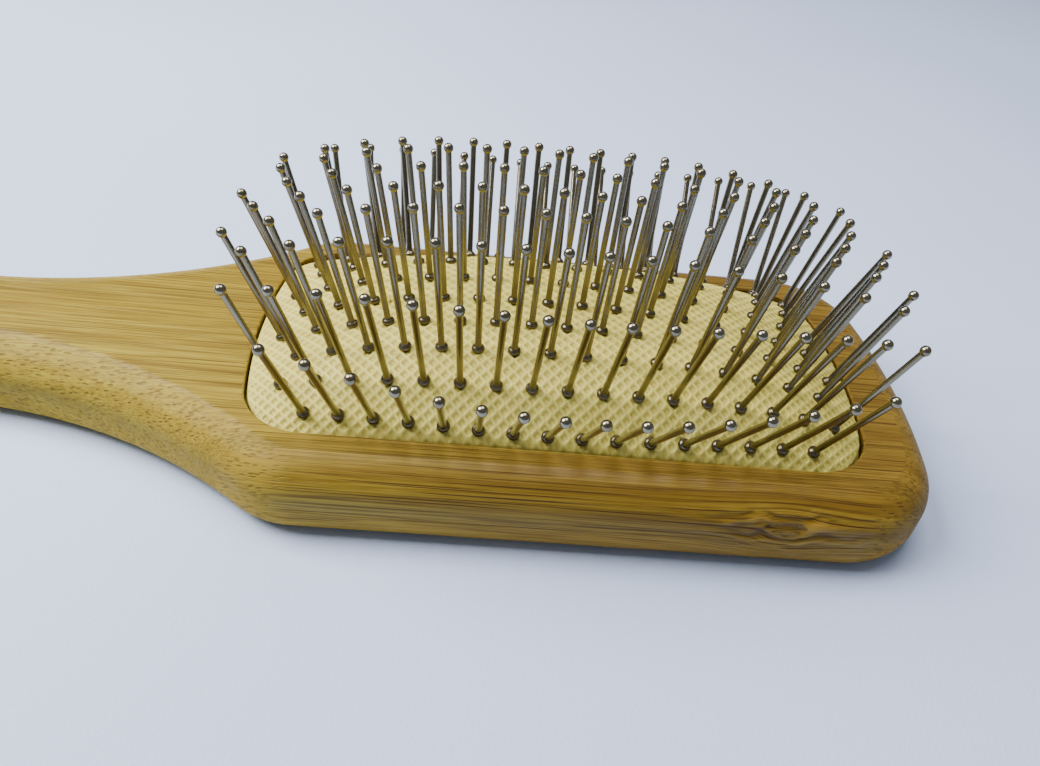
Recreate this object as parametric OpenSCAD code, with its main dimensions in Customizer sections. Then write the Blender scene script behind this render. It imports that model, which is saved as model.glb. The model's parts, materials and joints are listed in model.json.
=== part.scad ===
// Pneumatic paddle brush: a bamboo paddle holds a domed rubber cushion with ball-tipped steel pins.
// Millimetres. The origin lies on the flat back, under the centre of the cushion. +X points to the
// end of the head, -X along the handle, and +Z from the back towards the pin tips.

/* [Paddle] */
// Overall length of the brush
brush_length = 245; // [235:1:260]
// Width of the head
head_width = 80; // [78:1:84]
// Distance from the cushion's centre to the end of the head
head_reach = 72.7; // [72:0.1:76]
// Thickness of the bamboo
paddle_thickness = 15; // [14.5:0.5:17]
// Radius of the two corners at the end of the head
corner_radius = 20; // [16:1:22]
// Radius of the slightly bowed end of the head
end_bow_radius = 150; // [120:10:300]
// Radius of the two shoulders beside the handle
shoulder_radius = 16; // [14:1:18]
// Where the shoulder arcs are centred, measured back from the cushion's centre
shoulder_back = 46; // [44:1:47]
// Width of the handle at the neck
neck_width = 30; // [28:1:32]
// Distance from the cushion's centre to the neck
neck_back = 118; // [114:1:122]
// Width of the grip, and diameter of its rounded end
grip_width = 34; // [33:1:38]
// Width of the rounded edge around the head's face
head_edge_run = 6.5; // [5:0.5:7]
// Width of the rounded edge along the handle's face
handle_edge_run = 8.5; // [7:0.5:9]
// Height of the rounded edge of the face
face_edge_drop = 7; // [6:0.5:7.5]
// Size of the rounded edge of the back
back_edge = 4.5; // [3:0.5:5]

/* [Cushion opening] */
// Length of the opening for the cushion
opening_length = 118; // [116:1:120]
// Width of the opening for the cushion
opening_width = 59.4; // [59:0.2:60]
// Corner radius of the opening
opening_corner = 12; // [10:1:14]
// Radius of the bowed ends of the opening
opening_bow = 116; // [100:4:200]
// Bamboo left under the air chamber
floor_thickness = 6; // [5:0.5:7]

/* [Cushion] */
// Height of the cushion's crown above the bamboo face
crown_rise = 10.8; // [9:0.1:11.5]
// Thickness of the rubber, measured upright
skin_thickness = 1.8; // [1.6:0.1:2]
// Gap between the cushion's side and the wall of the opening
side_gap = 0.5; // [0.4:0.1:0.7]
// How far the rim lip reaches into the groove in the bamboo
lip_reach = 1.4; // [1:0.1:1.6]
// Thickness of the rim lip
lip_thickness = 1.6; // [1.4:0.1:1.8]
// Depth of the lip's top under the bamboo face
lip_depth = 2.8; // [2.6:0.1:3]
// Diameter of the vent hole that lets the air out
vent_diameter = 1.3; // [1:0.1:1.6]
// How far the crown goes in when the cushion is pressed
press_travel = 4; // [3:0.5:4.5]

/* [Pins] */
// Distance between two pins of a row at the crown
pin_pitch = 6.65; // [6.4:0.05:6.7]
// Distance between two rows at the crown
row_pitch = 7.66; // [7.4:0.02:7.7]
// Height of the ball's centre above the rubber
pin_length = 23.5; // [20:0.1:25]
// Diameter of the wire
wire_diameter = 1.2; // [1:0.1:1.3]
// Diameter of the ball tip
ball_diameter = 1.8; // [1.6:0.1:2]
// Diameter of the squashed bead that rests on the rubber
bead_diameter = 2.1; // [1.8:0.1:2.2]
// Height of the bead
bead_height = 0.8; // [0.6:0.1:1]
// Diameter of the flat head inside the cushion
head_diameter = 2.6; // [2.2:0.1:2.8]
// Thickness of the flat head
head_thickness = 0.5; // [0.4:0.1:0.6]

/* [Hidden] */
face_z = paddle_thickness;
handle_end_x = head_reach - brush_length;
round_steps = 10;       // points along each arc of an outline
bow_steps = 4;          // points along half of a bowed end
side_steps = 3;         // points along each straight side
shoulder_steps = 8;     // points along each shoulder
sweep_steps = 12;       // points along each curve from the shoulder to the neck
grip_steps = 6;         // points along each side of the grip
edge_steps = 6;         // rings in each rounded edge
hole_facets = 24;
pin_facets = 48;
crease_angle = 76;      // the rounded edge meets the face with a faint crease
fit_gap = 0.3;          // space between the rubber and each moving pin
groove_gap = 0.2;       // the groove's clearance around the rim lip

// Dome of the cushion: nearly flat in the middle, steep towards the rim.
dome_drop = 16;         // height of the formula's dome, which the rim cuts short
dome_half_x = 67.4;
dome_half_y = 32.3;
dome_power_x = 2.8;
dome_power_y = 3.76;
crown_z = face_z + crown_rise;
rim_z = face_z - lip_depth;

// Pins: nine staggered rows, each row split into rings of about equal height on the dome.
row_count = 9;
middle_row = 5;
long_row = 17;          // pins in the even rows, one more than in the odd rows
ring_count = 7;
ring_step = 0.125;      // share of the crown's travel between two rings
row_draw = 0.088;       // rows close up towards the long edges
end_draw = 0.09;        // outer rows bend inwards at their ends
edge_draw = 0.085;      // outer rows are a little shorter
lean_x = 0.97;          // pins lean almost as much as the dome along the row
lean_y = 0.72;          // and less across it

function pins_in_row(row) = row % 2 == 0 ? long_row : long_row - 1;

// Share of the dome that is left at x and at y
function fade_x(x) = 1 - pow(abs(x) / dome_half_x, dome_power_x);
function fade_y(y) = 1 - pow(abs(y) / dome_half_y, dome_power_y);
function dome_z(x, y) = crown_z - dome_drop * (1 - fade_x(x) * fade_y(y));
function slope_x(x, y) = -sign(x) * dome_drop * fade_y(y) * dome_power_x / dome_half_x
    * pow(abs(x) / dome_half_x, dome_power_x - 1);
function slope_y(x, y) = -sign(y) * dome_drop * fade_x(x) * dome_power_y / dome_half_y
    * pow(abs(y) / dome_half_y, dome_power_y - 1);

// Foot of one pin on the dome; side counts pitches from the row's middle
function row_share(row) = (row - middle_row) / (middle_row - 1);
function foot_x(row, side) = pin_pitch * side * (1 - edge_draw * pow(row_share(row), 2));
function foot_y(row, side) = row_pitch * (row - middle_row)
    * (1 - row_draw * pow(row_share(row), 2) - end_draw * pow(side / (long_row / 2), 2));
function travel_share(x, y) = (dome_z(x, y) - rim_z) / (crown_z - rim_z);
function ring_of(x, y) = 1 + round((1 - travel_share(x, y)) / ring_step);
function pin_feet(row) = [
    for (i = [0 : pins_in_row(row) - 1])
        let (side = i - (pins_in_row(row) - 1) / 2)
            [foot_x(row, side), foot_y(row, side)]
];
function feet_in_ring(row, ring) = [
    for (foot = pin_feet(row)) if (ring_of(foot.x, foot.y) == ring) foot
];
function pin_node(row, ring) = str("pins_row_", row, "_ring_", ring);

PIN_NODES = [
    for (row = [1 : row_count], ring = [1 : ring_count])
        if (len(feet_in_ring(row, ring)) > 0) pin_node(row, ring)
];

// Points of an arc about a centre
function arc(centre, radius, from, to, steps = round_steps) = [
    for (i = [0 : steps])
        let (a = from + (to - from) * i / steps)
            centre + radius * [cos(a), sin(a)]
];
function flipped(points) = [for (i = [len(points) - 1 : -1 : 0]) points[i]];
function mirrored_x(points) = [for (p = flipped(points)) [-p.x, p.y]];

// One corner of a bowed rectangle, from its long side to the middle of its bowed end
function corner_centre_x(reach, half_width, radius, bow) =
    reach - bow + sqrt(pow(bow - radius, 2) - pow(half_width - radius, 2));
function bowed_corner(reach, half_width, radius, bow) =
    let (
        centre = [corner_centre_x(reach, half_width, radius, bow), half_width - radius],
        turn = asin((half_width - radius) / (bow - radius))
    )
    concat(
        arc(centre, radius, 90, turn),
        [for (i = [1 : bow_steps])
            let (a = turn * (1 - i / bow_steps))
                [reach - bow, 0] + bow * [cos(a), sin(a)]]
    );

// Points along a straight side, leaving out both ends
function side_points(from_x, to_x, y) = [
    for (i = [1 : side_steps]) [from_x + (to_x - from_x) * i / (side_steps + 1), y]
];

// Outline of the paddle, anticlockwise
half_head = head_width / 2;
half_neck = neck_width / 2;
half_grip = grip_width / 2;
shoulder_rise = half_head - shoulder_radius - half_neck;
sweep_run = neck_back - shoulder_back;
sweep_radius = (pow(sweep_run, 2) + pow(shoulder_rise, 2) - pow(shoulder_radius, 2))
    / (2 * (shoulder_radius + shoulder_rise));
sweep_turn = atan2(sweep_radius - shoulder_rise, sweep_run);
grip_start_x = handle_end_x + half_grip;
function grip_blend(t) = [
    grip_start_x + (-neck_back - grip_start_x) * t,
    half_grip - (half_grip - half_neck) * (1 - cos(180 * t)) / 2
];
upper_edge = concat(
    arc([grip_start_x, 0], half_grip, 180, 90),
    [for (i = [1 : grip_steps]) grip_blend(i / grip_steps)],
    [for (i = [1 : sweep_steps])
        let (a = -90 + (90 - sweep_turn) * i / sweep_steps)
            [-neck_back, half_neck + sweep_radius] + sweep_radius * [cos(a), sin(a)]],
    [for (i = [1 : shoulder_steps])
        let (a = 180 - sweep_turn - (90 - sweep_turn) * i / shoulder_steps)
            [-shoulder_back, half_head - shoulder_radius] + shoulder_radius * [cos(a), sin(a)]],
    side_points(
        -shoulder_back,
        corner_centre_x(head_reach, half_head, corner_radius, end_bow_radius),
        half_head),
    bowed_corner(head_reach, half_head, corner_radius, end_bow_radius)
);
paddle_outline = concat(
    flipped([for (i = [1 : len(upper_edge) - 1]) upper_edge[i]]),
    [upper_edge[0]],
    [for (i = [1 : len(upper_edge) - 2]) [upper_edge[i].x, -upper_edge[i].y]]
);

// Outline of the opening, anticlockwise
half_opening = opening_width / 2;
opening_corner_points = bowed_corner(
    opening_length / 2, half_opening, opening_corner, opening_bow);
opening_half = concat(
    mirrored_x(opening_corner_points),
    side_points(-opening_corner_points[0].x, opening_corner_points[0].x, half_opening),
    opening_corner_points
);
opening_outline = concat(
    flipped(opening_half),
    [for (i = [1 : len(opening_half) - 2]) [opening_half[i].x, -opening_half[i].y]]
);

// Outline moved inwards by inset(p); the outlines run anticlockwise
function along(points, i) = points[(i + 1) % len(points)]
    - points[(i + len(points) - 1) % len(points)];
function inward(points, i) = let (t = along(points, i)) [-t.y, t.x] / norm(t);
function moved_in(points, inset) = [
    for (i = [0 : len(points) - 1]) points[i] + inset * inward(points, i)
];
function at_height(points, z) = [for (p = points) [p.x, p.y, z]];

// Solid between rings of points, closed by a flat cap at each end
module ring_solid(rings) {
    count = len(rings[0]);
    last = len(rings) - 1;
    sides = [
        for (r = [0 : last - 1], i = [0 : count - 1])
            let (j = (i + 1) % count, a = r * count, b = a + count)
                each [[a + i, b + i, b + j], [a + i, b + j, a + j]]
    ];
    caps = [
        [for (i = [0 : count - 1]) i],
        [for (i = [count - 1 : -1 : 0]) last * count + i]
    ];
    polyhedron([for (ring = rings) each ring], concat(sides, caps));
}

ray_centre = [-shoulder_back, 0];   // sees the whole outline of the face
ray_slack = 0.000001;

// Width of the face's rounded edge: the head's, growing to the handle's along the neck
function edge_run(x) =
    let (t = min(max((-x - shoulder_back) / sweep_run, 0), 1))
        head_edge_run + (handle_edge_run - head_edge_run) * (1 - cos(180 * t)) / 2;
function rounded_ring(share, z) = [
    for (i = [0 : len(paddle_outline) - 1])
        let (p = paddle_outline[i], q = p + edge_run(p.x) * share * inward(paddle_outline, i))
            [q.x, q.y, z]
];

// Point where the ray from the centre through p crosses the outline around it
function cross_of(a, b) = a.x * b.y - a.y * b.x;
function on_outline(points, centre, p) =
    let (
        ray = p - centre,
        hits = [
            for (i = [0 : len(points) - 1])
                let (
                    a = points[i] - centre,
                    edge = points[(i + 1) % len(points)] - points[i],
                    turn = cross_of(ray, edge),
                    share = turn == 0 ? -1 : -cross_of(ray, a) / turn,
                    reach = turn == 0 ? -1 : cross_of(a, edge) / turn
                )
                if (share > -ray_slack && share < 1 + ray_slack && reach > 0) reach
        ]
    )
    centre + ray * max(hits);

// One skin of points: over the back, up the side, across the face and down into the opening
module bamboo_paddle() {
    back_rings = [
        for (k = [0 : edge_steps - 1])
            let (a = 90 * k / (edge_steps - 1))
                at_height(moved_in(paddle_outline, back_edge * (1 - sin(a))), back_edge * (1 - cos(a)))
    ];
    face_rings = [
        for (k = [0 : edge_steps])
            let (a = crease_angle * k / edge_steps)
                rounded_ring(
                    (1 - cos(a)) / (1 - cos(crease_angle)),
                    face_z - face_edge_drop * (1 - sin(a) / sin(crease_angle)))
    ];
    opening = [
        for (p = face_rings[edge_steps]) on_outline(opening_outline, ray_centre, [p.x, p.y])
    ];
    groove = moved_in(opening, -lip_reach - groove_gap);
    groove_top = rim_z + groove_gap;
    groove_bottom = rim_z - lip_thickness - groove_gap;
    color([0.72, 0.52, 0.24])
        ring_solid(concat(
            back_rings,
            face_rings,
            [at_height(opening, face_z), at_height(opening, groove_top)],
            [at_height(groove, groove_top), at_height(groove, groove_bottom)],
            [at_height(opening, groove_bottom), at_height(opening, floor_thickness)]
        ));
}

// Rings of the domed sheet: scaled copies of its outline, laid on the dome
dome_rings = 12;
ring_ease = 0.75;       // below 1: the rings close up towards the rim
function ring_scale(k) = pow(k / dome_rings, ring_ease);
function dome_ring(outline, k, lower) = [
    for (p = outline)
        let (q = p * ring_scale(k))
            [q.x, q.y, dome_z(q.x, q.y) - lower]
];

module domed_skin() {
    side = moved_in(opening_outline, side_gap);
    inner = moved_in(opening_outline, side_gap + skin_thickness);
    lip = moved_in(opening_outline, -lip_reach);
    lip_bottom = rim_z - lip_thickness;
    ring_solid(concat(
        [for (k = [1 : dome_rings]) dome_ring(inner, k, skin_thickness)],
        [at_height(inner, lip_bottom), at_height(lip, lip_bottom), at_height(lip, rim_z)],
        [at_height(side, rim_z)],
        [for (k = [dome_rings : -1 : 1]) dome_ring(side, k, 0)]
    ));
}

// Places its children at the foot of a pin, with +Z along the pin
module on_dome(foot) {
    tilt_x = lean_x * slope_x(foot.x, foot.y);
    tilt_y = lean_y * slope_y(foot.x, foot.y);
    lean = atan(norm([tilt_x, tilt_y]));
    turn = atan2(-tilt_y, -tilt_x);
    translate([foot.x, foot.y, dome_z(foot.x, foot.y)])
        rotate([0, 0, turn])
            rotate([0, lean, 0])
                children();
}

vent_x = -5 * pin_pitch;
module cushion_skin() {
    hole_diameter = wire_diameter + 2 * fit_gap;
    hole_length = 4 * skin_thickness;
    color([0.87, 0.82, 0.62])
        difference() {
            domed_skin();
            for (row = [1 : row_count], foot = pin_feet(row))
                on_dome(foot)
                    cylinder(d = hole_diameter, h = hole_length, center = true, $fn = hole_facets);
            translate([vent_x, 0, dome_z(vent_x, 0)])
                cylinder(d = vent_diameter, h = hole_length, center = true, $fn = hole_facets);
        }
}

// Cloth sheet under the pins' flat heads, glued to the skin around the rim
backing_thickness = 0.6;
backing_depth = 4.8;    // top of the sheet under the dome's surface, clear of the tilted heads
backing_gap = 0.2;      // between the sheet's edge and the skin
module cushion_backing() {
    edge = moved_in(opening_outline, side_gap + skin_thickness + backing_gap);
    color([0.75, 0.72, 0.66])
        ring_solid(concat(
            [for (k = [1 : dome_rings]) dome_ring(edge, k, backing_depth + backing_thickness)],
            [for (k = [dome_rings : -1 : 1]) dome_ring(edge, k, backing_depth)]
        ));
}

// Half section of a pin, turned about its axis: flat head, wire, bead and ball
head_gap = 0.5;         // between the skin and the flat head
head_drop = skin_thickness + head_gap;
module pin_section() {
    intersection() {
        union() {
            translate([0, -head_drop - head_thickness])
                square([head_diameter / 2, head_thickness]);
            translate([0, -head_drop - head_thickness])
                square([wire_diameter / 2, head_drop + head_thickness + pin_length]);
            translate([0, fit_gap + bead_height / 2])
                intersection() {
                    circle(d = bead_diameter, $fn = pin_facets);
                    translate([0, -bead_height / 2])
                        square([bead_diameter, bead_height]);
                }
            translate([0, pin_length])
                circle(d = ball_diameter, $fn = pin_facets);
        }
        translate([0, -pin_length])
            square([bead_diameter + head_diameter, 3 * pin_length]);
    }
}

module pins(row, ring) {
    color([0.72, 0.72, 0.70])
        for (foot = feet_in_ring(row, ring))
            on_dome(foot)
                rotate_extrude($fn = pin_facets)
                    pin_section();
}

bamboo_paddle();
cushion_skin();
cushion_backing();
for (row = [1 : row_count], ring = [1 : ring_count])
    pins(row, ring);
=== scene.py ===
"""Looks of the paddle brush: bamboo body, embossed rubber cushion, cloth backing and steel pins.
Shapes are worked out in millimetres, in the frame of the CAD model, and made in metres."""
import json
import math

import bpy
import bmesh
import numpy as np
from mathutils import Matrix, Vector, geometry, noise


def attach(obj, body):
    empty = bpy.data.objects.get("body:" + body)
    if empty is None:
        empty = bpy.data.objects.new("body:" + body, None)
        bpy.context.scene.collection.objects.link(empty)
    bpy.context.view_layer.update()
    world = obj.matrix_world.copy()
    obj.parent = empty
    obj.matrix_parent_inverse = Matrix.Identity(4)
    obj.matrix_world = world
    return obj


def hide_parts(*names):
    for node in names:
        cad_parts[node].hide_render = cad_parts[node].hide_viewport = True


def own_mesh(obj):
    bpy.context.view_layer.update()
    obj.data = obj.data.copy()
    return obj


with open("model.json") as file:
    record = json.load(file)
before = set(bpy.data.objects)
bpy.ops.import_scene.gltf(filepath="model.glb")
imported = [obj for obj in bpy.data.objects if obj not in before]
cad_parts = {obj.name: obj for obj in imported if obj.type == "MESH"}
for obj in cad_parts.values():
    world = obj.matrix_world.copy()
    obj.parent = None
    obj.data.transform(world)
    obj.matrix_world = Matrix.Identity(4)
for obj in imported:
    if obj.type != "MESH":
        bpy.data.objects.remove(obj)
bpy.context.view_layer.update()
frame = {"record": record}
MM = 0.001

# Paddle
BRUSH_LENGTH, HEAD_WIDTH, HEAD_REACH = 245.0, 80.0, 72.7
FACE_Z, FLOOR_Z = 15.0, 6.0
CORNER_RADIUS, END_BOW = 20.0, 150.0
SHOULDER_RADIUS, SHOULDER_BACK = 16.0, 46.0
NECK_WIDTH, NECK_BACK, GRIP_WIDTH = 30.0, 118.0, 34.0
HEAD_EDGE_RUN, HANDLE_EDGE_RUN = 6.5, 8.5
FACE_EDGE_DROP, BACK_EDGE, CREASE_ANGLE = 7.0, 4.5, 76.0

# Opening and cushion
OPENING_LENGTH, OPENING_WIDTH = 118.0, 59.4
OPENING_CORNER, OPENING_BOW = 12.0, 116.0
CROWN_Z, RIM_Z = 25.8, 12.2
SKIN, SIDE_GAP = 1.8, 0.5
LIP_REACH, LIP_THICKNESS, GROOVE_GAP = 1.4, 1.6, 0.2
DOME_DROP = 16.0
DOME_HALF_X, DOME_HALF_Y = 67.4, 32.3
DOME_POWER_X, DOME_POWER_Y = 2.8, 3.76
CLOTH_DEPTH, CLOTH_THICKNESS, CLOTH_GAP = 4.8, 0.6, 0.2
VENT_RADIUS = 0.65

# Pins
PITCH, ROW_PITCH, PIN_LENGTH = 6.65, 7.66, 23.5
ROW_DRAW, END_DRAW, EDGE_DRAW = 0.088, 0.09, 0.085
LEAN_X, LEAN_Y = 0.97, 0.72
RING_STEP, LONG_ROW, MIDDLE_ROW = 0.125, 17, 5
VENT_X = -5 * PITCH

# Knot in the near side of the bamboo
KNOT_X, KNOT_Z = 39.0, 10.3


# ---------------------------------------------------------------- outlines

def arc(centre, radius, start, end, step):
    n = max(2, math.ceil(abs(math.radians(end - start)) * radius / step))
    a = np.radians(np.linspace(start, end, n + 1))
    return np.array(centre) + radius * np.stack([np.cos(a), np.sin(a)], 1)


def straight(a, b, step):
    n = max(2, math.ceil(math.dist(a, b) / step))
    t = np.linspace(0, 1, n + 1)[:, None]
    return np.array(a) * (1 - t) + np.array(b) * t


def bowed_corner(reach, half, radius, bow, step):
    """From the end of the long side, round the corner, to the middle of the bowed end."""
    x = reach - bow + math.sqrt((bow - radius) ** 2 - (half - radius) ** 2)
    turn = math.degrees(math.asin((half - radius) / (bow - radius)))
    return np.concatenate([
        arc((x, half - radius), radius, 90, turn, step),
        arc((reach - bow, 0), bow, turn, 0, step)])


def closed(upper):
    """Both halves of an outline that is given from its -X end to its +X end, anticlockwise."""
    keep = np.concatenate([[True], np.linalg.norm(np.diff(upper, axis=0), axis=1) > 1e-6])
    upper = upper[keep]
    lower = upper[1:-1] * [1, -1]
    return np.concatenate([upper[:1], lower, upper[:0:-1]])


def paddle_outline(step=0.2):
    half_head, half_neck, half_grip = HEAD_WIDTH / 2, NECK_WIDTH / 2, GRIP_WIDTH / 2
    rise = half_head - SHOULDER_RADIUS - half_neck
    run = NECK_BACK - SHOULDER_BACK
    sweep = (run ** 2 + rise ** 2 - SHOULDER_RADIUS ** 2) / (2 * (SHOULDER_RADIUS + rise))
    turn = math.degrees(math.atan2(sweep - rise, run))
    start = HEAD_REACH - BRUSH_LENGTH + half_grip
    t = np.linspace(0, 1, round((-NECK_BACK - start) / step))[:, None]
    grip = np.hstack([
        start + (-NECK_BACK - start) * t,
        half_grip - (half_grip - half_neck) * (1 - np.cos(math.pi * t)) / 2])
    corner = bowed_corner(HEAD_REACH, half_head, CORNER_RADIUS, END_BOW, step)
    return closed(np.concatenate([
        arc((start, 0), half_grip, 180, 90, step),
        grip,
        arc((-NECK_BACK, half_neck + sweep), sweep, -90, -turn, step),
        arc((-SHOULDER_BACK, half_head - SHOULDER_RADIUS), SHOULDER_RADIUS, 180 - turn, 90, step),
        straight((-SHOULDER_BACK, half_head), corner[0], step),
        corner]))


def opening_outline(step=0.2):
    corner = bowed_corner(
        OPENING_LENGTH / 2, OPENING_WIDTH / 2, OPENING_CORNER, OPENING_BOW, step)
    left = corner[::-1] * [-1, 1]
    return closed(np.concatenate([left, straight(left[-1], corner[0], step), corner]))


def resampled(points, spacing):
    """The closed outline again, with its points spacing(x, y) apart."""
    ring = np.vstack([points, points[:1]])
    middle = (ring[1:] + ring[:-1]) / 2
    count = np.linalg.norm(np.diff(ring, axis=0), axis=1) / spacing(middle[:, 0], middle[:, 1])
    place = np.concatenate([[0], np.cumsum(count)])
    want = np.linspace(0, place[-1], max(8, round(place[-1])) + 1)[:-1]
    return np.stack([np.interp(want, place, ring[:, k]) for k in (0, 1)], 1)


def inward(points):
    along = np.roll(points, -1, 0) - np.roll(points, 1, 0)
    along /= np.linalg.norm(along, axis=1, keepdims=True)
    return np.stack([-along[:, 1], along[:, 0]], 1)


def moved_in(points, inset):
    return points + inset * inward(points)


def inside_by(points, outline):
    """How far each point lies inside the outline; negative outside."""
    a, b = outline, np.roll(outline, -1, 0)
    edge = b - a
    out = np.empty(len(points))
    for s in range(0, len(points), 4000):
        p = points[s:s + 4000, None, :]
        t = np.clip(((p - a) * edge).sum(2) / (edge ** 2).sum(1), 0, 1)
        near = np.sqrt((((a + t[..., None] * edge) - p) ** 2).sum(2).min(1))
        y0, y1 = a[:, 1], b[:, 1]
        py, px = p[..., 1], p[..., 0]
        rise = np.where(y1 == y0, 1e-12, y1 - y0)
        hit = ((y0 > py) != (y1 > py)) & (px < a[:, 0] + (py - y0) / rise * edge[:, 0])
        out[s:s + 4000] = np.where(hit.sum(1) % 2 == 1, near, -near)
    return out


# ---------------------------------------------------------------- dome and pins

def dome(x, y):
    ax, ay = np.abs(x) / DOME_HALF_X, np.abs(y) / DOME_HALF_Y
    return CROWN_Z - DOME_DROP * (1 - (1 - ax ** DOME_POWER_X) * (1 - ay ** DOME_POWER_Y))


def pin_axis(x, y):
    ax, ay = abs(x) / DOME_HALF_X, abs(y) / DOME_HALF_Y
    slope_x = -math.copysign(DOME_DROP * (1 - ay ** DOME_POWER_Y) * DOME_POWER_X
                             / DOME_HALF_X * ax ** (DOME_POWER_X - 1), x)
    slope_y = -math.copysign(DOME_DROP * (1 - ax ** DOME_POWER_X) * DOME_POWER_Y
                             / DOME_HALF_Y * ay ** (DOME_POWER_Y - 1), y)
    return Vector((-LEAN_X * slope_x, -LEAN_Y * slope_y, 1)).normalized()


def pin_feet():
    """(CAD node, x, y) of every pin."""
    out = []
    for row in range(1, 2 * MIDDLE_ROW):
        count = LONG_ROW if row % 2 == 0 else LONG_ROW - 1
        share = (row - MIDDLE_ROW) / (MIDDLE_ROW - 1)
        for i in range(count):
            side = i - (count - 1) / 2
            x = PITCH * side * (1 - EDGE_DRAW * share ** 2)
            y = ROW_PITCH * (row - MIDDLE_ROW) * (
                1 - ROW_DRAW * share ** 2 - END_DRAW * (side / (LONG_ROW / 2)) ** 2)
            travel = (dome(x, y) - RIM_Z) / (CROWN_Z - RIM_Z)
            ring = 1 + math.floor((1 - travel) / RING_STEP + 0.5)
            out.append((f"pins_row_{row}_ring_{ring}", x, y))
    return out


# ---------------------------------------------------------------- meshes

def make_piece(name, verts, faces, material, smooth=True):
    mesh = bpy.data.meshes.new(name)
    mesh.from_pydata((np.asarray(verts, float) * MM).tolist(), [], faces)
    mesh.update()
    mesh.polygons.foreach_set("use_smooth", [smooth] * len(mesh.polygons))
    mesh.materials.append(material)
    obj = bpy.data.objects.new(name, mesh)
    bpy.context.scene.collection.objects.link(obj)
    return obj


def face_outwards(obj):
    bm = bmesh.new()
    bm.from_mesh(obj.data)
    bmesh.ops.recalc_face_normals(bm, faces=bm.faces)
    bm.to_mesh(obj.data)
    bm.free()


def store(obj, name, values):
    layer = obj.data.attributes.new(name, "FLOAT", "POINT")
    layer.data.foreach_set("value", np.asarray(values, np.float32))


def bridge(a, b, count):
    """Quads between two rings of count vertices that start at vertex a and at vertex b."""
    return [[a + i, a + (i + 1) % count, b + (i + 1) % count, b + i] for i in range(count)]


def on_rays(points, centre, outline):
    """Where the rays from the centre through the points cross the outline around it."""
    angle = np.unwrap(np.arctan2(outline[:, 1] - centre[1], outline[:, 0] - centre[0]))
    reach = np.linalg.norm(outline - centre, axis=1)
    order = np.argsort(angle % (2 * math.pi))
    want = np.arctan2(points[:, 1] - centre[1], points[:, 0] - centre[0]) % (2 * math.pi)
    r = np.interp(want, (angle % (2 * math.pi))[order], reach[order], period=2 * math.pi)
    return np.array(centre) + r[:, None] * np.stack([np.cos(want), np.sin(want)], 1)


def knot_height(p):
    """How far a point near the knot stands out of the bamboo, in mm."""
    out = np.zeros(len(p))
    for i in np.nonzero((p[:, 1] < -30) & (np.abs(p[:, 0] - KNOT_X) < 20))[0]:
        x, y, z = p[i]
        girth = z + max(0.0, y + 40) * 0.8
        warp = noise.noise_vector(Vector((x * 0.22, girth * 0.36, 3.1)))
        u = (x - KNOT_X) / 3.1 + 0.9 * warp.x
        w = girth - KNOT_Z + 1.3 * warp.y
        r = math.hypot(u, w)
        flow = w * (1 - 6.0 / (r * r + 2.5))
        lines = math.sin(flow * 3.0 + 2.4 * warp.z)
        rings = math.cos(r * 3.4)
        inner = math.exp(-(r / 1.7) ** 2)
        outer = math.exp(-(u / 4.0) ** 2 - (w / 4.4) ** 2)
        out[i] = outer * ((1 - inner) * 0.50 * lines + 0.24 * inner * rings + 0.10)
    return out


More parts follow.
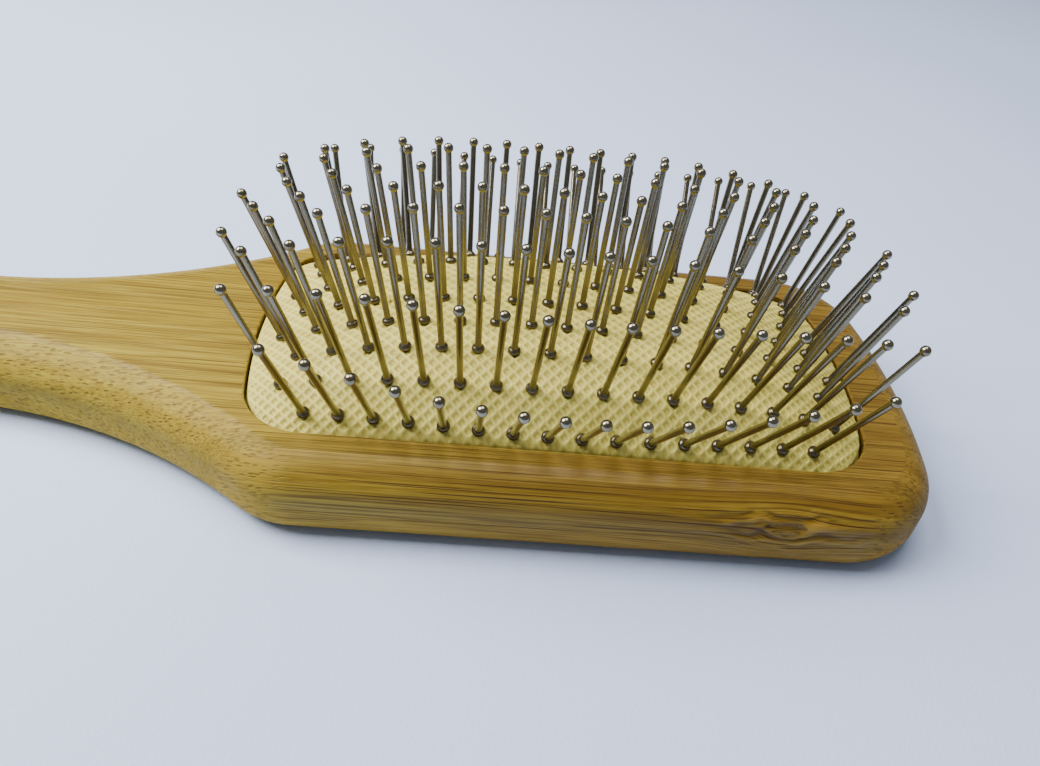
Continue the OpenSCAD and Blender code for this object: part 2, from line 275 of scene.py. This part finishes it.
def bamboo_body(material):
    def spacing(x, y):
        near_knot = (y < -30) & (np.abs(x - KNOT_X) < 17)
        return np.where(near_knot, 0.4, 0.95)

    line = resampled(paddle_outline(), spacing)
    n = len(line)
    t = np.clip((-line[:, 0] - SHOULDER_BACK) / (NECK_BACK - SHOULDER_BACK), 0, 1)
    run = HEAD_EDGE_RUN + (HANDLE_EDGE_RUN - HEAD_EDGE_RUN) * (1 - np.cos(math.pi * t)) / 2
    side = inward(line)
    rings = []

    def ring(flat, z):
        rings.append(np.column_stack([flat, np.full(n, float(z))]))

    for a in np.radians(np.linspace(0, 90, 10)):
        ring(line + side * BACK_EDGE * (1 - math.sin(a)), BACK_EDGE * (1 - math.cos(a)))
    low = FACE_Z - FACE_EDGE_DROP
    for z in np.arange(BACK_EDGE + 0.4, low, 0.4):
        ring(line, z)
    crease = math.radians(CREASE_ANGLE)
    for a in np.linspace(0, crease, 22):
        share = (1 - math.cos(a)) / (1 - math.cos(crease))
        ring(line + side * (run * share)[:, None],
             low + FACE_EDGE_DROP * math.sin(a) / math.sin(crease))
    outer = rings[-1][:, :2]
    mouth = on_rays(outer, (-SHOULDER_BACK, 0.0), opening_outline())
    soft = 0.35
    brim = moved_in(mouth, -soft)
    span = np.linalg.norm(brim - outer, axis=1, keepdims=True)
    for share in (0.0, 0.05, 0.12, 0.22, 0.34, 0.48, 0.62, 0.76, 0.88, 0.96):
        ring(outer + (brim - outer) * np.maximum(share, 0.12 * (1 - share) / span), FACE_Z)
    for a in np.radians([0, 30, 60, 90]):
        ring(moved_in(mouth, -soft * (1 - math.sin(a))), FACE_Z - soft * (1 - math.cos(a)))
    groove = moved_in(mouth, -LIP_REACH - GROOVE_GAP)
    top, bottom = RIM_Z + GROOVE_GAP, RIM_Z - LIP_THICKNESS - GROOVE_GAP
    ring(mouth, (FACE_Z + top) / 2)
    ring(mouth, top)
    ring(groove, top)
    ring(groove, bottom)
    ring(mouth, bottom)
    ring(mouth, FLOOR_Z)
    verts = np.concatenate(rings)
    stand = knot_height(verts)
    normal = np.tile(-side, (len(rings), 1))
    verts[:, :2] += normal * stand[:, None]
    faces = [list(range(n))[::-1]]
    for k in range(len(rings) - 1):
        faces += bridge(k * n, (k + 1) * n, n)
    faces.append([(len(rings) - 1) * n + i for i in range(n)])
    obj = make_piece("bamboo_body", verts, faces, material)
    face_outwards(obj)
    store(obj, "knot", stand)
    # Rings from the opening's edge down: the material paints shade on their wood.
    store(obj, "wall", np.repeat(np.arange(len(rings)) >= len(rings) - 7, n).astype(float))
    return obj


# ---------------------------------------------------------------- cushion

LATTICE, RIDGE, EMBOSS = 1.70, 0.32, 0.38
FOOT = 0.36             # half width of a ridge at its foot
PIP = 0.48              # the raised middle of each pit, as a share of the ridges' height
ROLL = 0.8


def ridge(t):
    """1 on a ridge and 0 in a pit, across ridges that lie LATTICE apart."""
    off = np.abs((t + LATTICE / 2) % LATTICE - LATTICE / 2)
    return np.clip((FOOT - off) / (FOOT - RIDGE / 2), 0, 1)


def pip(t):
    off = np.abs(t % LATTICE - LATTICE / 2)
    return np.clip(1 - off / (LATTICE / 2 - FOOT), 0, 1)


def lattice(x, y):
    """Height of the embossing, from 0 in the pits to 1 on the ridges."""
    x, y = spread(x, DOME_X), spread(y, DOME_Y)
    u, v = (x + y) / math.sqrt(2), (x - y) / math.sqrt(2)
    return np.maximum(np.maximum(ridge(u), ridge(v)), PIP * pip(u) * pip(v))


def lengths_over(half, power):
    """Distances from the crown along one axis, and the lengths over the dome that lead there."""
    t = np.linspace(0, 0.93 * half, 600)
    slope = 0.9 * DOME_DROP * power / half * (t / half) ** (power - 1)
    return t, np.concatenate([[0], np.cumsum(np.hypot(1, slope)[:-1] * t[1])])


DOME_X = lengths_over(DOME_HALF_X, DOME_POWER_X)
DOME_Y = lengths_over(DOME_HALF_Y, DOME_POWER_Y)


def spread(place, axis):
    return np.sign(place) * np.interp(np.abs(place), axis[0], axis[1])


def gathered(length, axis):
    return np.sign(length) * np.interp(np.abs(length), axis[1], axis[0])


def triangulated(loops, points):
    """Triangles inside the first loop and outside the others: (vertices, triangles, loop indices)."""
    flat = [tuple(p) for loop in loops for p in loop] + [tuple(p) for p in points]
    edges, start = [], 0
    for loop in loops:
        edges += [(start + i, start + (i + 1) % len(loop)) for i in range(len(loop))]
        start += len(loop)
    verts, _, faces, origin, _, _ = geometry.delaunay_2d_cdt(
        [Vector(p) for p in flat], edges, [], 1, 1e-5)
    verts = np.array([tuple(v) for v in verts])
    tris = np.array([list(f) for f in faces])
    centre = verts[tris].mean(1)
    keep = np.ones(len(tris), bool)
    for loop in loops[1:]:
        middle = np.mean(loop, 0)
        reach = np.linalg.norm(np.array(loop) - middle, axis=1).max()
        near = np.nonzero(np.linalg.norm(centre - middle, axis=1) < reach)[0]
        if len(near):
            keep[near[inside_by(centre[near], np.array(loop)) > 0]] = False
    new_of = {}
    for new, olds in enumerate(origin):
        for old in olds:
            new_of[old] = new
    found, start = [], 0
    for loop in loops:
        found.append([new_of[start + i] for i in range(len(loop))])
        start += len(loop)
    return verts, tris[keep], found


def cushion_points(outline, loops):
    reach_x = spread(OPENING_LENGTH / 2, DOME_X)
    reach_y = spread(OPENING_WIDTH / 2, DOME_Y)
    far = reach_x + reach_y
    half = RIDGE / 2
    steps = np.array([-half, half, FOOT, LATTICE / 2, LATTICE - FOOT])
    t = (np.arange(-far, far, LATTICE)[:, None] // LATTICE * LATTICE + steps).ravel()
    u, v = np.meshgrid(t, t)
    grid = np.stack([(u + v) / math.sqrt(2), (u - v) / math.sqrt(2)], 2).reshape(-1, 2)
    grid = grid[(np.abs(grid[:, 0]) < reach_x) & (np.abs(grid[:, 1]) < reach_y)]
    grid = np.stack([gathered(grid[:, 0], DOME_X), gathered(grid[:, 1], DOME_Y)], 1)
    grid = grid[inside_by(grid, outline) > ROLL - 0.1]
    fine = resampled(outline, lambda x, y: np.full(len(x), 0.3))
    grid = np.concatenate([grid] + [moved_in(fine, d) for d in (0.08, 0.22, 0.45, 0.8)])
    for loop in loops:
        middle = np.mean(loop, 0)
        grid = grid[np.linalg.norm(grid - middle, axis=1)
                    > np.linalg.norm(np.array(loop) - middle, axis=1).max() + 0.12]
    return grid


def hole_loop(x, y, radius, axis, drop, count=12):
    """The rim of a hole square to the axis, at drop mm down the axis from the dome."""
    e1 = axis.cross(Vector((0, 1, 0))).normalized()
    e2 = axis.cross(e1)
    middle = Vector((x, y, 0)) - axis * drop
    return [tuple((middle + radius * (math.cos(a) * e1 + math.sin(a) * e2))[:2])
            for a in np.linspace(0, 2 * math.pi, count, endpoint=False)]


def cushion_skin(material):
    outline = resampled(moved_in(opening_outline(), SIDE_GAP), lambda x, y: np.full(len(x), 0.5))
    n = len(outline)
    feet = [(x, y) for _, x, y in pin_feet()]
    holes = [(x, y, 0.85, pin_axis(x, y)) for x, y in feet]
    holes.append((VENT_X, 0.0, VENT_RADIUS, Vector((0, 0, 1))))
    top_loops = [outline] + [hole_loop(x, y, r, a, 0.0) for x, y, r, a in holes]
    flat, tris, loops = triangulated(top_loops, cushion_points(outline, top_loops[1:]))
    depth = np.clip(inside_by(flat, outline), 0, ROLL)
    emboss = lattice(flat[:, 0], flat[:, 1])
    fall = ROLL - np.sqrt(ROLL ** 2 - (ROLL - depth) ** 2)
    z = dome(flat[:, 0], flat[:, 1]) - fall - EMBOSS * (1 - emboss) * np.clip(depth / 0.5, 0, 1)
    verts = [np.column_stack([flat, z])]
    faces = tris.tolist()
    shade = [emboss]
    total = len(flat)

    under = moved_in(outline, SKIN)
    low_loops = [under] + [
        hole_loop(x, y, r, a, SKIN) for x, y, r, a in holes]
    spaced = np.stack(np.meshgrid(np.arange(-58, 58, 2.5), np.arange(-29, 29, 2.5)), 2)
    spaced = spaced.reshape(-1, 2)
    spaced = spaced[inside_by(spaced, under) > 0.5]
    for loop in low_loops[1:]:
        spaced = spaced[np.linalg.norm(spaced - np.mean(loop, 0), axis=1) > 1.2]
    low, low_tris, found = triangulated(low_loops, spaced)
    verts.append(np.column_stack([low, dome(low[:, 0], low[:, 1]) - SKIN]))
    faces += (low_tris + total)[:, ::-1].tolist()
    found = [[total + i for i in loop] for loop in found]
    shade.append(np.zeros(len(low)))
    total += len(low)

    lip = moved_in(outline, -SIDE_GAP - LIP_REACH)
    skirt = [loops[0]]
    for flat_ring, height in ((outline, RIM_Z + 0.35), (outline, RIM_Z), (lip, RIM_Z),
                              (lip, RIM_Z - LIP_THICKNESS), (under, RIM_Z - LIP_THICKNESS)):
        verts.append(np.column_stack([flat_ring, np.full(n, height)]))
        skirt.append([total + i for i in range(n)])
        # The skirt gets emboss 0.5, so half of the painted pit shade.
        shade.append(np.ones(n) * 0.5)
        total += n
    skirt.append(found[0])
    for upper, lower in zip(skirt, skirt[1:]):
        faces += [[upper[i], upper[(i + 1) % n], lower[(i + 1) % n], lower[i]] for i in range(n)]
    for upper, lower in zip(loops[1:], found[1:]):
        m = len(upper)
        faces += [[upper[i], upper[(i + 1) % m], lower[(i + 1) % m], lower[i]] for i in range(m)]
    obj = make_piece("cushion_rubber", np.concatenate(verts), faces, material)
    face_outwards(obj)
    # emboss drives the darker pits in the rubber material: painted shade with some grime.
    store(obj, "emboss", np.concatenate(shade))
    return obj


def cushion_cloth(material):
    edge = resampled(moved_in(opening_outline(), SIDE_GAP + SKIN + CLOTH_GAP),
                     lambda x, y: np.full(len(x), 1.0))
    grid = np.stack(np.meshgrid(np.arange(-57, 57, 1.5), np.arange(-28, 28, 1.5)), 2)
    grid = grid.reshape(-1, 2)
    grid = grid[inside_by(grid, edge) > 0.5]
    flat, tris, loops = triangulated([edge], grid)
    top = np.column_stack([flat, dome(flat[:, 0], flat[:, 1]) - CLOTH_DEPTH])
    count, rim = len(flat), loops[0]
    faces = tris.tolist() + (tris + count)[:, ::-1].tolist()
    faces += [[rim[i], rim[(i + 1) % len(rim)], count + rim[(i + 1) % len(rim)], count + rim[i]]
              for i in range(len(rim))]
    obj = make_piece(
        "cushion_cloth", np.concatenate([top, top - [0, 0, CLOTH_THICKNESS]]), faces, material)
    face_outwards(obj)
    return obj


# ---------------------------------------------------------------- pins

def pin_profile():
    """(radius, height) up the pin: flat head, wire, bead on the rubber, wire and ball."""
    wire, head, bead, ball = 0.6, 1.3, 1.2, 0.97
    bead_z, bead_half = 0.30, 0.85
    out = [(0, -2.8), (head - 0.12, -2.8), (head, -2.68), (head, -2.42), (head - 0.12, -2.3),
           (wire, -2.25)]
    out.append((wire, -0.45))
    for a in np.radians(np.linspace(-55, 55, 10)):
        out.append((bead * math.cos(a), bead_z + bead_half * math.sin(a)))
    out += [(wire + 0.05, bead_z + 0.90 * bead_half), (wire, bead_z + bead_half + 0.12)]
    for z in (6, 12, 18):
        out.append((wire, z))
    start = math.asin(wire / ball)
    join = PIN_LENGTH - ball * math.cos(start)
    out += [(wire, join - 0.25), (wire + 0.01, join - 0.06)]
    for a in np.linspace(start, math.pi, 11)[:-1]:
        out.append((ball * math.sin(a), PIN_LENGTH - ball * math.cos(a)))
    out.append((0, PIN_LENGTH + ball))
    return out


def pin_piece(name, feet, material, around=20):
    profile = pin_profile()
    rings = profile[1:-1]
    a = np.linspace(0, 2 * math.pi, around, endpoint=False)
    one = [(0, 0, profile[0][1])]
    for r, z in rings:
        one += list(zip(r * np.cos(a), r * np.sin(a), np.full(around, z)))
    one.append((0, 0, profile[-1][1]))
    one = np.array(one)
    last = len(one) - 1
    faces = [[0, 1 + (i + 1) % around, 1 + i] for i in range(around)]
    for k in range(len(rings) - 1):
        faces += bridge(1 + k * around, 1 + (k + 1) * around, around)
    top = 1 + (len(rings) - 1) * around
    faces += [[top + i, top + (i + 1) % around, last] for i in range(around)]
    # Bead rings: the steel material paints shade and reflection on them.
    bead = (np.abs(one[:, 2] - 0.3) < 1.0).astype(float)
    verts, all_faces = [], []
    for x, y in feet:
        axis = pin_axis(x, y)
        turn = np.array(axis.to_track_quat("Z", "Y").to_matrix())
        verts.append(one @ turn.T + [x, y, float(dome(x, y))])
        start = (len(verts) - 1) * len(one)
        all_faces += [[start + i for i in f] for f in faces]
    obj = make_piece(name, np.concatenate(verts), all_faces, material)
    store(obj, "bead", np.tile(bead, len(feet)))
    return obj


# ---------------------------------------------------------------- materials

class Nodes:
    """Short ways to wire a material's nodes."""

    def __init__(self, name):
        self.material = bpy.data.materials.new(name)
        self.material.use_nodes = True
        self.tree = self.material.node_tree
        self.shader = self.tree.nodes["Principled BSDF"]

    def set(self, socket, value):
        if isinstance(value, bpy.types.NodeSocket):
            self.tree.links.new(value, socket)
        else:
            socket.default_value = value

    def node(self, kind, *inputs, out=0, **options):
        n = self.tree.nodes.new("ShaderNode" + kind)
        for key, value in options.items():
            setattr(n, key, value)
        for i, value in enumerate(inputs):
            if value is not None:
                self.set(n.inputs[i], value)
        return n.outputs[out]

    def math(self, operation, *inputs, clamp=False):
        return self.node("Math", *inputs, operation=operation, use_clamp=clamp)

    def position(self):
        """Place in the piece, in mm."""
        place = self.node("TexCoord", out="Object")
        return self.node("VectorMath", place, (1000, 1000, 1000), operation="MULTIPLY")

    def split(self, vector):
        n = self.tree.nodes.new("ShaderNodeSeparateXYZ")
        self.set(n.inputs[0], vector)
        return n.outputs

    def join(self, x, y, z):
        return self.node("CombineXYZ", x, y, z)

    def noise(self, vector, scale, detail=2.0, rough=0.5):
        n = self.tree.nodes.new("ShaderNodeTexNoise")
        self.set(n.inputs["Vector"], vector)
        n.inputs["Scale"].default_value = scale
        n.inputs["Detail"].default_value = detail
        n.inputs["Roughness"].default_value = rough
        return n.outputs["Fac"]

    def cells(self, vector, scale, output="Distance"):
        n = self.tree.nodes.new("ShaderNodeTexVoronoi")
        self.set(n.inputs["Vector"], vector)
        n.inputs["Scale"].default_value = scale
        return n.outputs[output]

    def remap(self, value, low, high, to_low=0.0, to_high=1.0):
        n = self.tree.nodes.new("ShaderNodeMapRange")
        n.interpolation_type = "SMOOTHSTEP"
        for i, v in enumerate((value, low, high, to_low, to_high)):
            self.set(n.inputs[i], v)
        return n.outputs[0]

    def mix(self, share, a, b, blend="MIX"):
        n = self.tree.nodes.new("ShaderNodeMix")
        n.data_type = "RGBA"
        n.blend_type = blend
        self.set(n.inputs[0], share)
        self.set(n.inputs[6], a)
        self.set(n.inputs[7], b)
        return n.outputs[2]

    def attribute(self, name):
        return self.node("Attribute", out="Fac", attribute_name=name)

    def bump(self, height, depth_mm, normal=None):
        n = self.tree.nodes.new("ShaderNodeBump")
        n.inputs["Distance"].default_value = depth_mm * MM
        self.set(n.inputs["Height"], height)
        if normal is not None:
            self.set(n.inputs["Normal"], normal)
        return n.outputs[0]

    def finish(self, color, roughness, normal, **constants):
        self.set(self.shader.inputs["Base Color"], color)
        self.set(self.shader.inputs["Roughness"], roughness)
        self.set(self.shader.inputs["Normal"], normal)
        for key, value in constants.items():
            self.shader.inputs[key.replace("_", " ")].default_value = value
        return self.material


def bamboo_material():
    m = Nodes("bamboo")
    place = m.position()
    x, y, z = m.split(place)
    facing = m.split(m.node("TexCoord", out="Normal"))
    # Fibres part around the knot
    u = m.math("MULTIPLY", m.math("SUBTRACT", x, KNOT_X), 0.55)
    near = m.remap(y, -30.0, -34.0)
    over = m.math("MULTIPLY", m.math("MAXIMUM", m.math("ADD", y, 40.0), 0.0), near)
    girth = m.math("MULTIPLY_ADD", over, 0.8, z)
    w = m.math("SUBTRACT", girth, KNOT_Z)
    r2 = m.math("ADD", m.math("MULTIPLY", u, u), m.math("ADD", m.math("MULTIPLY", w, w), 3.0))
    part = m.math("DIVIDE", m.math("MULTIPLY", w, -8.0), r2)
    sway = m.noise(m.join(m.math("MULTIPLY", x, 0.03), y, z), 0.25, 1.0)
    across_near = m.math("MULTIPLY", y, m.math("MULTIPLY_ADD", near, -0.95, 1.0))
    y_flow = m.math("MULTIPLY_ADD", sway, 1.6, across_near)
    z_flow = m.math("MULTIPLY_ADD", sway, 1.6, m.math("MULTIPLY_ADD", part, near, girth))
    # Glued strips, each with its own tone
    strip = m.math("FLOOR", m.math("MULTIPLY", m.math("ADD", y, 2.0), 1 / 6.6))
    tone = m.node("TexWhiteNoise", None, strip, noise_dimensions="1D")
    shift = m.math("MULTIPLY", strip, 37.0)

    def along(stretch):
        return m.join(m.math("MULTIPLY_ADD", x, stretch, shift), y_flow, z_flow)

    thick = m.remap(m.cells(along(0.007), 2.3), 0.37, 0.24)
    thin = m.remap(m.cells(along(0.010), 3.8), 0.42, 0.28)
    fine = m.noise(along(0.012), 3.6, 3.0, 0.65)
    broad = m.noise(along(0.008), 0.35, 3.0, 0.6)
    patchy = m.remap(m.noise(m.join(m.math("MULTIPLY", x, 0.015), y, z), 0.2, 1.0), 0.38, 0.56, 0.60, 1.0)
    high = m.remap(z, 3.5, 8.0, 0.25, 1.0)
    toward_end = m.remap(x, -90.0, 20.0)
    # Where the surface is cut across the fibres they show as short dents, not lines
    rounded = m.math("MULTIPLY", m.remap(facing[2], 0.985, 0.94), m.remap(x, -42.0, -54.0))
    ends = m.remap(m.math("ABSOLUTE", m.math("SUBTRACT", x, 3.0)), 45.0, 50.0)
    across = m.math("MULTIPLY", m.remap(m.math("ABSOLUTE", facing[0]), 0.08, 0.28), ends)
    across = m.math("MAXIMUM", across, rounded)
    dents = m.remap(m.cells(m.join(m.math("MULTIPLY", x, 0.36), y_flow, z_flow), 1.4), 0.40, 0.18)
    dents = m.math("MULTIPLY", dents, across)
    in_line = m.math("SUBTRACT", 1.0, across)
    thick = m.math("MULTIPLY", thick, in_line)
    lines = m.math("MULTIPLY", m.math("MULTIPLY", thick, patchy), high)

    light = m.mix(m.remap(broad, 0.3, 0.7), (0.44, 0.294, 0.036, 1), (0.27, 0.163, 0.016, 1))
    light = m.mix(m.math("MULTIPLY", tone, 0.30), light, (0.36, 0.20, 0.012, 1))
    light = m.mix(m.math("MULTIPLY", rounded, 0.45), light, (0.40, 0.250, 0.018, 1))
    # Painted light: low on the sides the wood is mixed lighter and warmer, as if lit from the front.
    light = m.mix(m.remap(z, 9.0, 3.0, 0.0, 0.65), light, (0.62, 0.340, 0.014, 1))
    color = m.mix(m.remap(fine, 0.42, 0.62, 0.0, 0.70), light, (0.20, 0.100, 0.006, 1))
    color = m.mix(m.math("MULTIPLY", m.math("MULTIPLY", thin, 0.62), in_line), color, (0.13, 0.055, 0.004, 1))
    lines = m.math("MULTIPLY", lines, m.remap(x, -95.0, -45.0, 0.45, 0.90))
    color = m.mix(lines, color, (0.075, 0.025, 0.004, 1))
    color = m.mix(m.math("MULTIPLY", dents, 0.58), color, (0.17, 0.085, 0.007, 1))
    knot = m.attribute("knot")
    # Painted shade in the knot's creases: darker where the knot height dips into the surface.
    color = m.mix(m.remap(knot, 0.0, -0.30, 0.0, 0.80), color, (0.105, 0.042, 0.003, 1))
    # Painted highlight on the knot's ridges: lighter where it stands out most.
    color = m.mix(m.remap(knot, 0.10, 0.40, 0.0, 0.60), color, (0.62, 0.38, 0.060, 1))
    # Painted shade: the whole body is multiplied darker and greyer towards the head end, where the light
    # falls off; the handle end is tinted greener.
    shade = m.mix(toward_end, (0.84, 0.98, 0.95, 1), (0.67, 0.65, 0.62, 1))
    color = m.mix(1.0, color, shade, blend="MULTIPLY")
    # Painted shade: the opening's inner wall is mixed to dark brown.
    color = m.mix(m.math("MULTIPLY", m.attribute("wall"), 0.75), color, (0.060, 0.025, 0.003, 1))

    height = m.math("SUBTRACT", m.math("MULTIPLY", fine, 0.25), m.math("MULTIPLY", thick, 0.7))
    height = m.math("SUBTRACT", height, m.math("MULTIPLY", dents, 1.6))
    ripple = m.noise(m.join(m.math("MULTIPLY", x, 0.25), y, z), 0.35, 2.0)
    normal = m.bump(ripple, 0.20, m.bump(height, 0.08))
    rough = m.remap(m.noise(place, 0.4, 3.0), 0.3, 0.7, 0.38, 0.50)
    rough = m.math("MULTIPLY_ADD", thick, 0.12, m.math("MULTIPLY_ADD", across, 0.28, rough))
    return m.finish(color, rough, normal, Coat_Weight=0.06, Coat_Roughness=0.28,
                    Specular_IOR_Level=0.26, Specular_Tint=(1.0, 0.90, 0.74, 1))


def rubber_material():
    m = Nodes("cushion_rubber")
    place = m.position()
    emboss = m.attribute("emboss")
    cloud = m.noise(place, 0.09, 3.0)
    grain = m.noise(place, 4.0, 3.0, 0.6)
    top = m.mix(m.remap(cloud, 0.3, 0.7), (0.71, 0.635, 0.150, 1), (0.63, 0.555, 0.112, 1))
    # Painted shade with some grime: darker in the pits of the embossing, keyed to the emboss height.
    color = m.mix(m.remap(emboss, 0.85, 0.0, 0.0, 0.60), top, (0.37, 0.285, 0.030, 1))
    color = m.mix(m.remap(grain, 0.35, 0.7, 0.0, 0.18), color, (0.45, 0.35, 0.08, 1))
    rough = m.remap(m.noise(place, 1.2, 3.0), 0.3, 0.7, 0.48, 0.66)
    normal = m.bump(grain, 0.03)
    return m.finish(color, rough, normal, Subsurface_Weight=0.08, Subsurface_Scale=0.001,
                    Specular_IOR_Level=0.4)


def cloth_material():
    m = Nodes("backing_cloth")
    place = m.position()
    x, y, _ = m.split(place)
    warp = m.math("SINE", m.math("MULTIPLY", x, 2 * math.pi / 0.7))
    weft = m.math("SINE", m.math("MULTIPLY", y, 2 * math.pi / 0.7))
    weave = m.math("MULTIPLY", warp, weft)
    fuzz = m.noise(place, 5.0, 3.0)
    color = m.mix(m.remap(weave, -1.0, 1.0), (0.30, 0.28, 0.23, 1), (0.52, 0.49, 0.42, 1))
    color = m.mix(m.remap(fuzz, 0.3, 0.7, 0.0, 0.3), color, (0.40, 0.36, 0.28, 1))
    rough = m.remap(fuzz, 0.3, 0.7, 0.82, 0.95)
    return m.finish(color, rough, m.bump(weave, 0.15, m.bump(fuzz, 0.05)), Sheen_Weight=0.2)


def steel_material():
    m = Nodes("pin_steel")
    place = m.position()
    x, y, z = m.split(place)
    drawn = m.noise(m.join(x, y, m.math("MULTIPLY", z, 0.3)), 1.6, 2.0, 0.5)
    stain = m.noise(place, 0.12, 1.0)
    color = m.mix(m.remap(stain, 0.35, 0.7), (0.26, 0.235, 0.165, 1), (0.22, 0.190, 0.120, 1))
    bead = m.attribute("bead")
    # Painted shade and reflection: the bead at each pin's foot is mixed to near black.
    color = m.mix(m.math("MULTIPLY", bead, 0.7), color, (0.085, 0.070, 0.045, 1))
    rough = m.math("ADD", m.remap(drawn, 0.3, 0.7, 0.15, 0.17), m.remap(stain, 0.4, 0.7, 0.0, 0.06))
    rough = m.math("MULTIPLY_ADD", bead, 0.10, rough)
    return m.finish(color, rough, m.bump(drawn, 0.0004), Metallic=1.0)


def floor_material():
    m = Nodes("floor_paper")
    place = m.position()
    tone = m.noise(place, 0.004, 2.0)
    color = m.mix(m.remap(tone, 0.3, 0.7), (0.57, 0.67, 0.94, 1), (0.52, 0.62, 0.88, 1))
    rough = m.remap(m.noise(place, 0.8, 3.0), 0.3, 0.7, 0.8, 0.95)
    return m.finish(color, rough, m.bump(m.noise(place, 1.5, 4.0), 0.08))


# ---------------------------------------------------------------- assembly

SLOTS = {"bamboo": bamboo_material(), "cushion_rubber": rubber_material(),
         "backing_cloth": cloth_material(), "pin_steel": steel_material()}


def place_soft(obj, node):
    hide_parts(node)
    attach(obj, "paddle")
    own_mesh(obj)


body = bamboo_body(SLOTS["bamboo"])
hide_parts("bamboo_paddle")
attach(body, "paddle")

skin = cushion_skin(SLOTS["cushion_rubber"])
place_soft(skin, "cushion_skin")

cloth = cushion_cloth(SLOTS["backing_cloth"])
place_soft(cloth, "cushion_backing")

body_of_node = {node: name for name, nodes in frame["record"]["behaviour"]["bodies"].items()
                for node in nodes}
feet_of = {}
for node, x, y in pin_feet():
    feet_of.setdefault(node, []).append((x, y))
for node, feet in feet_of.items():
    pins = pin_piece(node.replace("pins", "steel_pins"), feet, SLOTS["pin_steel"])
    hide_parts(node)
    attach(pins, body_of_node[node])


# ---------------------------------------------------------------- stage, light and camera

def floor():
    size, n = 6000.0, 8
    t = np.linspace(-size, size, n)
    gx, gy = np.meshgrid(t, t)
    verts = np.column_stack([gx.ravel(), gy.ravel(), np.zeros(n * n)])
    faces = [[r * n + c, r * n + c + 1, (r + 1) * n + c + 1, (r + 1) * n + c]
             for r in range(n - 1) for c in range(n - 1)]
    obj = make_piece("floor", verts, faces, floor_material())


def softbox(name, place, target, size, power, color):
    light = bpy.data.lights.new(name, "AREA")
    light.shape = "RECTANGLE"
    light.size, light.size_y = (s * MM for s in size)
    light.energy = power
    light.color = color
    obj = bpy.data.objects.new(name, light)
    obj.location = Vector(place) * MM
    obj.rotation_euler = (Vector(target) - Vector(place)).to_track_quat("-Z", "Y").to_euler()
    bpy.context.scene.collection.objects.link(obj)


def camera():
    data = bpy.data.cameras.new("camera")
    data.sensor_width = 36.0
    data.lens = 870.0 / 1040.0 * 36.0
    data.clip_start, data.clip_end = 0.005, 20.0
    obj = bpy.data.objects.new("camera", data)
    ahead = Vector((0.0727, 0.7771, -0.6251)).normalized()
    right = Vector((0.9941, -0.0056, 0.1087))
    right = (right - right.dot(ahead) * ahead).normalized()
    up = right.cross(ahead)
    turn = Matrix((right, up, -ahead)).transposed().to_4x4()
    obj.matrix_world = Matrix.Translation(Vector((-19.65, -140.12, 118.42)) * MM) @ turn
    bpy.context.scene.collection.objects.link(obj)
    bpy.context.scene.camera = obj


floor()
camera()
softbox("window", (-430, 60, 470), (-20, 0, 15), (380, 380), 9.0, (1.0, 0.98, 0.94))
softbox("ceiling", (40, 160, 700), (0, 0, 0), (420, 420), 4.0, (1.0, 0.98, 0.95))
world = bpy.data.worlds.new("room")
world.use_nodes = True
world.node_tree.nodes["Background"].inputs["Color"].default_value = (0.86, 0.92, 1.0, 1)
world.node_tree.nodes["Background"].inputs["Strength"].default_value = 0.28
bpy.context.scene.world = world
